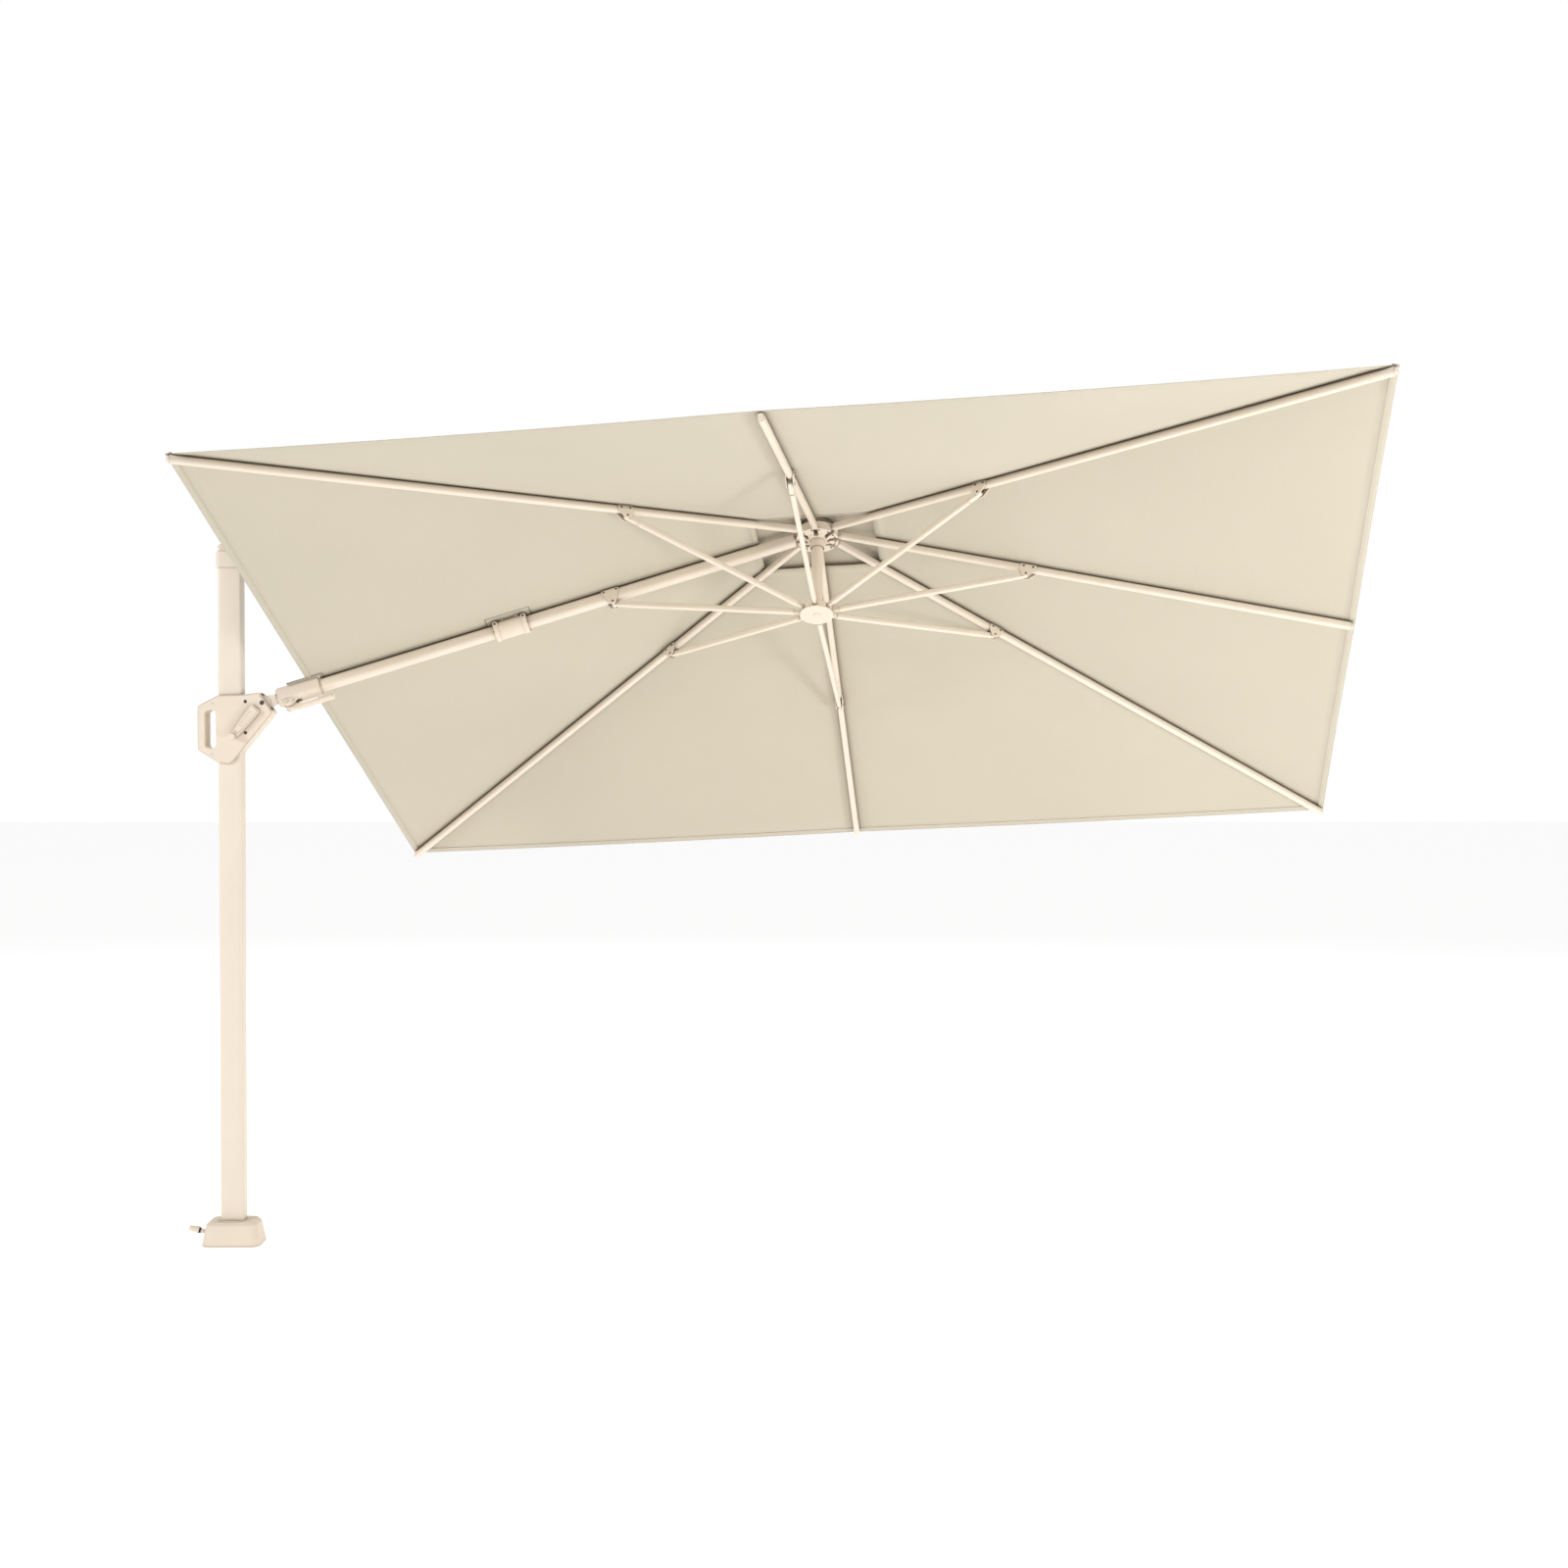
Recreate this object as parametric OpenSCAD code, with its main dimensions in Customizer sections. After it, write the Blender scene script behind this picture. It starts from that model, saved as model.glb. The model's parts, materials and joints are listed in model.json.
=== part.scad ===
// Cantilever parasol: a rectangular canopy hung from an arm that pivots on a carriage,
// which slides on a turning mast. Millimetres, +Z up, origin on the mast's axis at the floor.

/* [Mast] */
// Height of the mast's tube above the floor
mast_h = 2380; // [2300:10:2480]
// Width of the mast along the arm
mast_w = 80; // [70:1:84]
// Depth of the mast across the arm
mast_d = 60; // [50:1:62]
// Wall of the mast's tube
mast_wall = 3; // [2:0.5:5]

/* [Foot] */
// Width of the foot cover at the floor
foot_w = 198; // [180:2:230]
// Depth of the foot cover at the floor
foot_d = 150; // [140:2:200]
// Height of the foot cover
foot_h = 81; // [80:1:100]

/* [Carriage] */
// Height of the arm's pivot above the floor
pivot_z = 1851; // [1700:1:1900]
// Distance of the arm's pivot in front of the mast's axis
pivot_x = 111; // [108:1:114]
// Thickness of the carriage across the arm
carriage_d = 86; // [80:2:90]

/* [Arm] */
// Angle of the arm above the horizontal
arm_rise = 17.1; // [12:0.1:20]
// Sideways tilt of the canopy about the arm
side_tilt = -30.8; // [-31:0.1:31]
// Distance from the arm's pivot to the hub
arm_len = 1980; // [1900:10:2100]
// Height of the arm's tube
arm_h = 44; // [40:1:44]
// Width of the arm's tube
arm_w = 34; // [30:1:36]

/* [Canopy] */
// Length of the canopy along the arm
canopy_l = 3500; // [3000:50:3600]
// Width of the canopy across the arm
canopy_w = 2600; // [2400:50:3000]
// Height of the canopy's peak above its rim
canopy_rise = 510; // [420:5:560]
// Thickness of the canopy's solid
cloth_t = 1.6; // [1.2:0.1:3]

/* [Ribs] */
// Width of a rib
rib_w = 20; // [16:1:22]
// Height of a rib
rib_h = 26; // [22:1:26]
// Distance of the brace pins from the canopy's axis, along each rib
brace_at = 740; // [700:5:800]
// Distance of the runner's pivots below the ribs' meeting point
runner_drop = 325; // [300:5:340]

/* [Hidden] */
$fn = 48;

cream = [0.93, 0.87, 0.78];
warm = [0.88, 0.81, 0.71];
sand = [0.84, 0.79, 0.68];
steel = [0.45, 0.44, 0.42];
dark = [0.2, 0.17, 0.14];

// Clearance between parts that slide past each other
gap = 0.5;
// Radial clearance of a pin in its bore
fit = 0.06;
// Radius of the pins at the hub and braces
pin_r = 3.5;

// Canopy geometry: half sizes, slope of the ribs and their plan angles
half_l = canopy_l / 2;
half_w = canopy_w / 2;
diagonal = sqrt(half_l * half_l + half_w * half_w);
slope_corner = atan2(canopy_rise, diagonal);
slope_long = atan2(canopy_rise, half_l);
slope_side = atan2(canopy_rise, half_w);
corner_turn = atan2(half_w, half_l);
// Height of the cloth's underside above the ribs' centre lines
cloth_gap = 15;
// The inner mid rib is the arm itself, so its line lies this far above the arm's axis
arm_drop = 8;

// Hub and runner
hub_r = 72;
hub_top = -7;
hub_low = -38;
hub_pin_at = 54;
runner_r = 56;
runner_pin_at = 45;
slot_w = 15;
tongue_w = 14;
rib_start = 86;
rib_r = 7;
rib_wall = 2;
eye_r = 8;
post_r = 19.5;
collar_r = 25;
brace_pin_drop = 26;
arm_pin_drop = 40;
brace_w = 16;
brace_h = 20;
brace_r = 5.5;
brace_wall = 1.8;

// Carriage
carriage_low = 1643;
crank_x = 80;
crank_z = 1819;
crank_len = 115;
// The crank hangs at this angle, outside the near shell
crank_turn = atan2(1729 - crank_z, 8 - crank_x);
crank_y = -carriage_d / 2 - 2;
shaft_r = 7;
shaft_in = 3;
saddle_at = 882;
stay_pivot_x = 66;
stay_pivot_z = 2345;
// Height of the stay's pin above the arm's axis
stay_rise = 50;
saddle_bore = 23.5;
stay_w = 34;
stay_h = 26;
stay_r = 8;
stay_wall = 2.5;

// Mast and foot
mast_r = 9;
mast_in_r = 7;
mast_low = foot_h - 16;
// The cover's plan at its top, as a share of its plan at the floor
foot_top = 0.82;
foot_r = 33;
foot_shoulder = 14;
plate_w = 154;
plate_d = 113;
plate_r = 33;
plate_t = 8;
spindle_r = 26;
spindle_h = 112;
bolt_x = 60;
bolt_y = 40;
bolt_hole_r = 5.5;
ring_r = 54.4;
pedal_x = -foot_w / 2 + 14;
pedal_y = -20;
pedal_z = 42;
pedal_window = 26;

// Points of an arc round c from angle a0 to a1
function arc(c, r, a0, a1, n) =
    [for (i = [0 : n]) c + r * [cos(a0 + (a1 - a0) * i / n), sin(a0 + (a1 - a0) * i / n)]];

// Outline of a w by h rectangle with corners of radius r, centred
function round_rect(w, h, r, n = 5) = concat(
    arc([w / 2 - r, h / 2 - r], r, 0, 90, n), arc([r - w / 2, h / 2 - r], r, 90, 180, n),
    arc([r - w / 2, r - h / 2], r, 180, 270, n), arc([w / 2 - r, r - h / 2], r, 270, 360, n));

// v at length 1
function unit(v) = v / norm(v);

// The corner at q of an outline from p to s, rounded to radius r, on a counterclockwise turn
function rounded_corner(p, q, s, r, n = 6) =
    let (u = unit(q - p), v = unit(s - q), turn = acos(u * v),
        c = q - u * (r * tan(turn / 2)) + r * [-u.y, u.x], a = atan2(-u.x, u.y))
    arc(c, r, a, a + turn, n);

// A convex counterclockwise outline, moved in by d
function moved_in(pts, d) = [for (i = [0 : len(pts) - 1])
    let (k = len(pts), p = pts[(i + k - 1) % k], q = pts[i], s = pts[(i + 1) % k],
        u = unit(q - p), v = unit(s - q), turn = acos(min(1, u * v)))
    q + d * [-u.y, u.x] - u * (d * tan(turn / 2))];

// A convex counterclockwise outline with its corners rounded to the radii in rs
function rounded(pts, rs) = [for (i = [0 : len(pts) - 1])
    let (k = len(pts))
    each rounded_corner(pts[(i + k - 1) % k], pts[i], pts[(i + 1) % k], rs[i])];

// Lies an outline drawn in X and Z at y, extruded away from +Y by t
module standing(y, t) translate([0, y + t, 0]) rotate([90, 0, 0]) linear_extrude(t) children();

// A solid bar of w by h along +X from x0 to x1, with corners of radius r
module bar(x0, x1, w, h, r) translate([x0, 0, 0]) rotate([90, 0, 90])
    linear_extrude(x1 - x0) polygon(round_rect(w, h, r));

// A tube along +X
module tube(x0, x1, w, h, r, wall) difference() {
    bar(x0, x1, w, h, r);
    bar(x0 - 1, x1 + 1, w - 2 * wall, h - 2 * wall, r - wall / 2);
}

// A cylinder along Y, centred on y = 0
module cross_pin(r, l) rotate([90, 0, 0]) cylinder(r = r, h = l, center = true);

// The arm's own frame: origin at its pivot, +X along it, tilted with the canopy
module in_arm() translate([pivot_x, 0, pivot_z]) rotate([0, -arm_rise, 0])
    rotate([side_tilt, 0, 0]) children();

// The same without the sideways tilt
module in_neck() translate([pivot_x, 0, pivot_z]) rotate([0, -arm_rise, 0]) children();

// The canopy's frame: origin where the ribs' centre lines meet, +Z out of the peak
module in_canopy() in_arm() translate([arm_len, 0, arm_drop]) rotate([0, slope_long, 0])
    children();

// A rib's frame: origin at the canopy's axis, +X down the rib
module in_rib(turn, slope) in_canopy() rotate([0, 0, turn]) rotate([0, slope, 0]) children();

// ---- Foot ----
module base_plate() color(steel) difference() {
    union() {
        linear_extrude(plate_t) polygon(round_rect(plate_w, plate_d, plate_r));
        translate([0, 0, plate_t]) cylinder(r = spindle_r, h = spindle_h);
    }
    for (x = [-1, 1], y = [-1, 1])
        translate([x * bolt_x, y * bolt_y, -1]) cylinder(r = bolt_hole_r, h = plate_t + 2);
}

module foot_cover() color(cream) difference() {
    hull() {
        linear_extrude(8) polygon(round_rect(foot_w, foot_d, foot_r, 8));
        translate([0, 0, foot_h - foot_shoulder]) linear_extrude(4)
            polygon(round_rect(foot_w * foot_top + 12, foot_d * foot_top + 6, foot_r, 8));
        translate([0, 0, foot_h - 1]) linear_extrude(1)
            polygon(round_rect(foot_w * foot_top - 10, foot_d * foot_top - 12, foot_r - 6, 8));
    }
    translate([0, 0, -1]) linear_extrude(foot_h - 12)
        polygon(round_rect(plate_w + 2, plate_d + 2, plate_r + 1, 8));
    translate([0, 0, foot_h - 20]) cylinder(r = ring_r + gap, h = 30);
    // window of the pedal
    translate([-foot_w / 2, pedal_y, 38]) cube([60, pedal_window, 30], center = true);
}

// Ring that turns with the mast in the foot cover's top
module turntable() color(warm) difference() {
    union() {
        translate([0, 0, foot_h - 12]) cylinder(r = ring_r, h = 13.5);
        translate([0, 0, mast_low]) cylinder(r = ring_r - 4, h = 4);
    }
    translate([0, 0, mast_low - 1]) linear_extrude(20)
        polygon(round_rect(mast_w, mast_d, mast_r));
}

// Foot pedal: a rocker on a cross pin, with a tapered grip outside the cover
module pedal() color(warm) translate([pedal_x, pedal_y, pedal_z]) rotate([0, 12, 0]) {
    bar(-40, 10, 13, 13, 5);
    translate([-64, 0, 1]) rotate([0, 90, 0]) difference() {
        cylinder(r1 = 8.5, r2 = 12.5, h = 34);
        translate([0, 0, -1]) cylinder(r = 5, h = 5);
    }
    cross_pin(4, pedal_window - 1);
}

// ---- Mast ----
module mast_tube() color(cream) difference() {
    translate([0, 0, mast_low]) linear_extrude(mast_h - mast_low)
        polygon(round_rect(mast_w, mast_d, mast_r));
    translate([0, 0, mast_low - 1]) linear_extrude(mast_h - mast_low + 2)
        polygon(round_rect(mast_w - 2 * mast_wall, mast_d - 2 * mast_wall, mast_in_r));
}

module mast_cap() color(warm) {
    translate([0, 0, mast_h]) linear_extrude(6) polygon(round_rect(mast_w + 4, mast_d + 4, 11));
    translate([0, 0, mast_h + 6]) linear_extrude(4)
        polygon(round_rect(mast_w - 6, mast_d - 6, 10));
    translate([0, 0, mast_h - 18]) linear_extrude(18)
        polygon(round_rect(mast_w - 2 * mast_wall, mast_d - 2 * mast_wall, mast_in_r));
}

module mast_bracket() color(warm) {
    difference() {
        translate([0, 0, stay_pivot_z - 34]) linear_extrude(54)
            polygon(round_rect(mast_w + 12, mast_d + 12, 12));
        translate([0, 0, stay_pivot_z - 35]) linear_extrude(56)
            polygon(round_rect(mast_w, mast_d, mast_r));
    }
    translate([0, 0, stay_pivot_z]) difference() {
        union() {
            translate([stay_pivot_x, 0, 0]) cross_pin(13, 20);
            translate([mast_w / 2 + 4, -10, -13]) cube([22, 20, 26]);
        }
        translate([stay_pivot_x, 0, 0]) cross_pin(5 + fit, 24);
    }
}

// ---- Carriage ----
shell_outline = [[-107, 1840], [-107, 1690], [-38, 1647], [6, 1643], [147, 1817],
    [101, 1886], [53, 1879], [-38, 1876]];
shell_radii = [14, 16, 18, 26, 8, 10, 14, 14];
roller_r = 14.6;
rollers = [[-55, 1850], [-55, 1677], [55.2, 1855], [55.2, 1749]];

mouth_r = 27;
mouth_low = arm_rise - 12;
mouth_high = arm_rise + 46;
// End of a wall of the mouth, that leaves the pocket at angle a and runs at angle b
function ray(a, b) = mouth_r * [cos(a), sin(a)] + 90 * [cos(b), sin(b)];

// One half of the carriage, on the side of y = -1 or 1
module carriage_half(side) color(cream) difference() {
    union() {
        standing(min(side * gap / 2, side * (carriage_d / 2 - 4)), carriage_d / 2 - 4 - gap / 2)
            polygon(rounded(shell_outline, shell_radii));
        standing(side > 0 ? carriage_d / 2 - 4 : -carriage_d / 2, 4)
            polygon(rounded(moved_in(shell_outline, 3.5), shell_radii * 0.8));
    }
    // passage of the mast
    translate([0, 0, carriage_low - 10]) linear_extrude(260)
        polygon(round_rect(mast_w + 1.6, mast_d + 2, 9));
    // hand slot
    translate([-64, 0, 1760.5]) rotate([90, 0, 0]) linear_extrude(100, center = true)
        polygon(round_rect(39, 131, 14));
    // pockets of the rollers, their axles and the winch drum
    for (p = rollers) translate([p.x, 0, p.y]) {
        cross_pin(roller_r + 1.4, 46);
        cross_pin(6, 120);
    }
    translate([crank_x, 0, crank_z]) {
        cross_pin(17, 44);
        cross_pin(shaft_r + fit, 120);
    }
    // mouth for the arm's neck, open to the front
    translate([pivot_x, 0, pivot_z]) {
        standing(-mouth_r, 2 * mouth_r) polygon(concat(
            arc([0, 0], mouth_r, mouth_high + 90, mouth_low + 270, 24),
            [ray(mouth_low - 90, mouth_low), ray(mouth_high + 90, mouth_high)]));
        cross_pin(8, 120);
    }
    // screw's counterbore
    translate([56, side * carriage_d / 2, 1704]) cross_pin(4.5, 6);
}

module carriage_near_shell() carriage_half(-1);
module carriage_far_shell() carriage_half(1);

// A guide roller that runs on the mast's face, turning on its bolt
module guide_roller(p) color(dark) translate([p.x, 0, p.y]) difference() {
    cross_pin(roller_r, 42);
    cross_pin(4 + fit, 50);
}

module guide_roller_back_top() guide_roller(rollers[0]);
module guide_roller_back_low() guide_roller(rollers[1]);
module guide_roller_front_top() guide_roller(rollers[2]);
module guide_roller_front_low() guide_roller(rollers[3]);

// The rollers' bolts and the arm's pivot bolt, flush in the shells
module carriage_bolts() color(steel) {
    for (p = rollers) translate([p.x, 0, p.y]) {
        cross_pin(4, carriage_d - 6);
        for (s = [-1, 1]) translate([0, s * (carriage_d / 2 - 5), 0]) difference() {
            cross_pin(6, 8);
            translate([0, s * 4, 0]) rotate([90, 0, 0])
                cylinder(r = 2.6, h = 5, center = true, $fn = 6);
        }
    }
    translate([pivot_x, 0, pivot_z]) {
        cross_pin(6, carriage_d - 6);
        for (s = [-1, 1]) translate([0, s * (carriage_d / 2 - 5), 0]) cross_pin(8, 8);
    }
}

// Winch drum on the crank's shaft
module winch_drum() color(steel) translate([crank_x, 0, crank_z]) {
    cross_pin(9, 34);
    for (s = [-1, 1]) translate([0, s * 19, 0]) cross_pin(16, 3);
    translate([0, crank_y + 40 - shaft_in, 0]) cross_pin(shaft_r, 80);
}

// Crank arm, with a long shallow panel and plain grooves
module crank_arm() color(cream) translate([crank_x, crank_y, crank_z]) rotate([90, 0, 0])
    rotate([0, 0, crank_turn]) difference() {
        union() {
            linear_extrude(13) polygon(rounded([[-20, -19], [40, -17], [crank_len - 14, -12],
                [crank_len, 0], [crank_len - 14, 12], [40, 17], [-20, 19]],
                [7, 30, 10, 11, 10, 30, 7]));
            linear_extrude(16) polygon(rounded([[-15, -14], [38, -12], [84, -8],
                [84, 8], [38, 12], [-15, 14]], [5, 20, 4, 4, 20, 5]));
        }
        translate([2, -7, 14.6]) linear_extrude(4) polygon(rounded([[0, 0], [58, 1], [58, 12],
            [0, 14]], [2, 2, 2, 2]));
        translate([crank_len - 11, 0, -1]) cylinder(r = 4 + fit, h = 20);
        translate([0, 0, -1]) cylinder(r = shaft_r, h = shaft_in + 1);
    }

module crank_knob() color(warm) translate([crank_x, crank_y, crank_z]) rotate([90, 0, 0])
    rotate([0, 0, crank_turn]) translate([crank_len - 11, 0, 0]) {
        cylinder(r = 4, h = 16);
        translate([0, 0, 13.6]) rotate_extrude() polygon(concat([[0, 0], [9, 0]],
            arc([6.5, 17.5], 4.5, 0, 90, 6), [[0, 22]]));
    }

// ---- Arm ----
// Pin of the neck that the tilt socket turns on
neck_pin_r = 15;
neck_pin_end = 105;

module arm_neck() color(warm) in_neck() difference() {
    union() {
        cross_pin(24, 50);
        standing(-20, 40) polygon([[0, -22], [22, -20], [40, -16.5], [47, -17], [47, 17],
            [40, 16.5], [22, 20], [0, 23]]);
        translate([45, 0, 0]) rotate([0, 90, 0]) cylinder(r = 19, h = 4);
        translate([45, 0, 0]) rotate([0, 90, 0]) cylinder(r = neck_pin_r, h = neck_pin_end - 45);
    }
    cross_pin(6 + fit, 60);
}

socket_low = 48;
socket_high = 200;
lever_at = 84;
lever_z = -37;
module tilt_socket() color(cream) in_arm() difference() {
    union() {
        bar(socket_low + 6, socket_high, 50, 62, 15);
        bar(socket_low + 1.5, socket_low + 6, 44, 56, 13);
        bar(socket_high, socket_high + 3, 44, 56, 13);
        standing(-21, 42) polygon(rounded([[58, -24], [74, -47], [96, -49], [122, -26],
            [118, 0], [60, 0]], [12, 9, 9, 12, 4, 4]));
    }
    rotate([0, 90, 0]) cylinder(r = neck_pin_r + fit, h = neck_pin_end + 3);
    bar(neck_pin_end + 3, 260, arm_w, arm_h, 12);
    translate([lever_at, 0, lever_z]) {
        cross_pin(4 + fit, 60);
        translate([-16, -8, -30]) cube([60, 16, 43]);
    }
}

// Clamp lever of the side tilt: a cam on its pin, and a bar that lies along the arm
module tilt_lever() color(cream) in_arm() translate([lever_at, 0, lever_z]) {
    difference() {
        union() {
            standing(-7, 14) polygon(rounded([[-13, -6], [-2, -24], [30, -27], [152, -27],
                [160, -20], [152, -14], [34, -13], [14, 9], [-6, 10]],
                [5, 8, 60, 4, 4, 4, 1, 6, 5]));
            translate([38, 0, -20.5]) bar(0, 112, 19, 12, 5);
        }
        cross_pin(4 + fit, 30);
    }
}

module lever_plate() color(warm) in_arm() translate([lever_at, 0, lever_z]) {
    cross_pin(4, 54);
    for (s = [-1, 1]) translate([0, s * 23.4 - 1.6, 0]) standing(0, 3.2)
        polygon(rounded([[-19, -5], [-8, -13], [14, -11], [21, 2], [11, 10], [-12, 8]],
            [4, 4, 4, 4, 4, 4]));
    for (s = [-1, 1]) translate([-4, s * 27, 0]) cross_pin(6, 4);
}

module arm_tube() color(cream) in_arm()
    tube(110, arm_len - 88, arm_w, arm_h, 12, 3);

// End fitting of the arm: a plug in the tube with a tongue that turns in the hub
module arm_end() color(warm) in_arm() difference() {
    union() {
        bar(arm_len - 140, arm_len - 88, arm_w - 6, arm_h - 6, 10.5);
        bar(arm_len - 88, arm_len - 84, arm_w, arm_h, 12);
        translate([arm_len - hub_pin_at, 0, arm_drop]) rotate([0, 180, 0])
            standing(-tongue_w / 2, tongue_w)
                polygon(concat(arc([0, 0], eye_r, 90, 270, 12), [[32, -8], [32, 12]]));
    }
    translate([arm_len - hub_pin_at, 0, arm_drop]) cross_pin(pin_r + fit, 30);
}

// Cheeks on both sides of the arm that hold the brace's pin
module arm_clevis() color(warm) in_rib(180, slope_long) {
    for (s = [-1, 1]) translate([0, s * (arm_w / 2 + 1.8), 0])
        standing(-1.5, 3) polygon(rounded([[brace_at - 10, -arm_pin_drop - 9],
            [brace_at + 12, -arm_pin_drop - 9], [brace_at + 34, 10], [brace_at - 34, 10]],
            [8, 8, 6, 6]));
    for (s = [-1, 1]) translate([brace_at, s * (arm_w / 2 + 1.8), 0]) {
        for (p = [[0, -arm_pin_drop], [-22, 3], [22, 3]]) translate([p.x, s * 1.6, p.y])
            cross_pin(3.6, 2.4);
    }
    translate([brace_at, 0, -arm_pin_drop]) {
        cross_pin(pin_r, arm_w + 5);
        for (s = [-1, 1]) translate([0, s * 12.6, 0]) cross_pin(7, 8.4);
    }
}

// ---- Stay from the mast's head to the arm ----
// Bearing that the arm's tube turns in, with a lug for the stay
module saddle() color(cream) in_neck() translate([saddle_at, 0, 0]) {
    difference() {
        union() {
            rotate([0, 90, 0]) cylinder(r = 33, h = 84, center = true);
            for (s = [-1, 1]) translate([s * 50, 0, 0]) rotate([0, 90, 0])
                cylinder(r = 36, h = 16, center = true);
            standing(-9, 18) polygon(rounded([[-24, 26], [24, 26], [12, stay_rise + 12],
                [-12, stay_rise + 12]], [2, 2, 9, 9]));
        }
        rotate([0, 90, 0]) cylinder(r = saddle_bore, h = 200, center = true);
    }
}

// Screws round the saddle's two end flanges
module saddle_screws() color(steel) in_neck() translate([saddle_at, 0, 0])
    for (s = [-1, 1], a = [-150, -30, 90]) rotate([a, 0, 0])
        translate([s * 58.9, 0, 30]) rotate([0, 90, 0]) cylinder(r = 3, h = 1.8, center = true);

stay_low = [pivot_x + saddle_at * cos(arm_rise) - stay_rise * sin(arm_rise),
    pivot_z + saddle_at * sin(arm_rise) + stay_rise * cos(arm_rise)];
stay_len = norm(stay_low - [stay_pivot_x, stay_pivot_z]);
stay_fall = atan2(stay_pivot_z - stay_low.y, stay_low.x - stay_pivot_x);

// The stay's frame: origin at the mast's bracket, +X down to the arm
module in_stay() translate([stay_pivot_x, 0, stay_pivot_z]) rotate([0, stay_fall, 0])
    children();

module stay_tube() color(cream) in_stay()
    tube(34, stay_len - 34, stay_w, stay_h, stay_r, stay_wall);

// Forks in both ends of the stay. The lower one has room round the saddle's lug
module stay_forks() color(warm) in_stay() {
    for (s = [-1, 1]) standing(s * 13.5 - 3, 6)
        polygon(concat(arc([0, 0], 13, 90, 270, 12), [[34, -12], [34, 12]]));
    bar(22, 34, stay_w - 1, stay_h - 1, stay_r - 1);
    bar(34, 74, stay_w - 2 * stay_wall, stay_h - 2 * stay_wall, stay_r - stay_wall / 2);
    cross_pin(5, 33);
    translate([stay_len, 0, 0]) {
        for (s = [-1, 1]) standing(s * 13.5 - 3, 6)
            polygon(concat([[-34, 12], [-34, -12]], arc([0, 0], 13, -90, 90, 12)));
        for (s = [-1, 1]) translate([0, s * 17.5, 0]) cross_pin(6, 3);
        bar(-34, -28, stay_w - 1, stay_h - 1, stay_r - 1);
        bar(-74, -34, stay_w - 2 * stay_wall, stay_h - 2 * stay_wall, stay_r - stay_wall / 2);
    }
}

// ---- Hub ----
rib_turns = [180 + corner_turn, 270, -corner_turn, 0, corner_turn, 90, 180 - corner_turn];
rib_slopes = [slope_corner, slope_side, slope_corner, slope_long, slope_corner, slope_side,
    slope_corner];
rib_lengths = [for (s = rib_slopes) canopy_rise / sin(s)];
arm_turn = 180;
all_turns = concat(rib_turns, [arm_turn]);
all_slopes = concat(rib_slopes, [slope_long]);

module hub() color(cream) in_canopy() difference() {
    union() {
        translate([0, 0, hub_low]) cylinder(r = hub_r, h = hub_top - hub_low);
        translate([0, 0, hub_low - 5]) cylinder(r1 = 40, r2 = 44, h = 5);
    }
    for (i = [0 : 7]) rotate([0, 0, all_turns[i]])
        translate([34, -slot_w / 2, hub_low - 10]) cube([60, slot_w, 60]);
    translate([0, 0, hub_low - 10]) cylinder(r = 21, h = 60);
    for (i = [0 : 7]) rotate([0, 0, all_turns[i]]) rotate([0, all_slopes[i], 0])
        translate([hub_pin_at, 0, 0]) cross_pin(pin_r, 27.9);
}

module hub_pins() color(steel) for (i = [0 : 7]) in_rib(all_turns[i], all_slopes[i])
    translate([hub_pin_at, 0, 0]) cross_pin(pin_r, 27.9);

module hub_collar() color(warm) in_canopy() difference() {
    translate([0, 0, hub_low - 34]) cylinder(r = collar_r, h = 29);
    translate([0, 0, hub_low - 40]) cylinder(r = collar_r - 2.5, h = 50);
}

// ---- Ribs ----
// The rib's tube stops short of the canopy's rim, with a tongue in the hub
module rib(i) color(warm) in_rib(rib_turns[i], rib_slopes[i]) difference() {
    union() {
        tube(rib_start, rib_lengths[i] - 16, rib_w, rib_h, rib_r, rib_wall);
        for (x = [rib_start, rib_lengths[i] - 30]) bar(x, x + 14, rib_w - 2 * rib_wall,
            rib_h - 2 * rib_wall, rib_r - rib_wall / 2);
        bar(rib_lengths[i] - 16, rib_lengths[i] - 8, rib_w - 4, rib_h - 8, 5);
        translate([hub_pin_at, 0, 0]) standing(-tongue_w / 2, tongue_w)
            polygon(concat(arc([0, 0], eye_r, 90, 270, 12), [[36, -10], [36, 10]]));
    }
    translate([hub_pin_at, 0, 0]) cross_pin(pin_r + fit, 30);
}

module rib_inner_near() rib(0);
module rib_near() rib(1);
module rib_outer_near() rib(2);
module rib_outer() rib(3);
module rib_outer_far() rib(4);
module rib_far() rib(5);
module rib_inner_far() rib(6);

// Cheeks riveted to both sides of a rib, with the brace's pin below it
module clevis(i) color(warm) in_rib(rib_turns[i], rib_slopes[i]) {
    for (s = [-1, 1]) translate([brace_at, s * (rib_w / 2 + 1.4), 0]) {
        standing(-1.3, 2.6) polygon(rounded([[-12, -brace_pin_drop - 10],
            [10, -brace_pin_drop - 10], [30, -10], [30, 10], [-26, 10], [-26, -10]],
            [11, 11, 10, 5, 5, 10]));
        for (p = [[0, -brace_pin_drop], [-14, 2], [18, 2]])
            translate([p.x, s * 1.6, p.y]) cross_pin(3.4, 2.6);
    }
    translate([brace_at, 0, -brace_pin_drop]) cross_pin(pin_r, rib_w + 3);
}

module clevis_inner_near() clevis(0);
module clevis_near() clevis(1);
module clevis_outer_near() clevis(2);
module clevis_outer() clevis(3);
module clevis_outer_far() clevis(4);
module clevis_far() clevis(5);
module clevis_inner_far() clevis(6);

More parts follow.
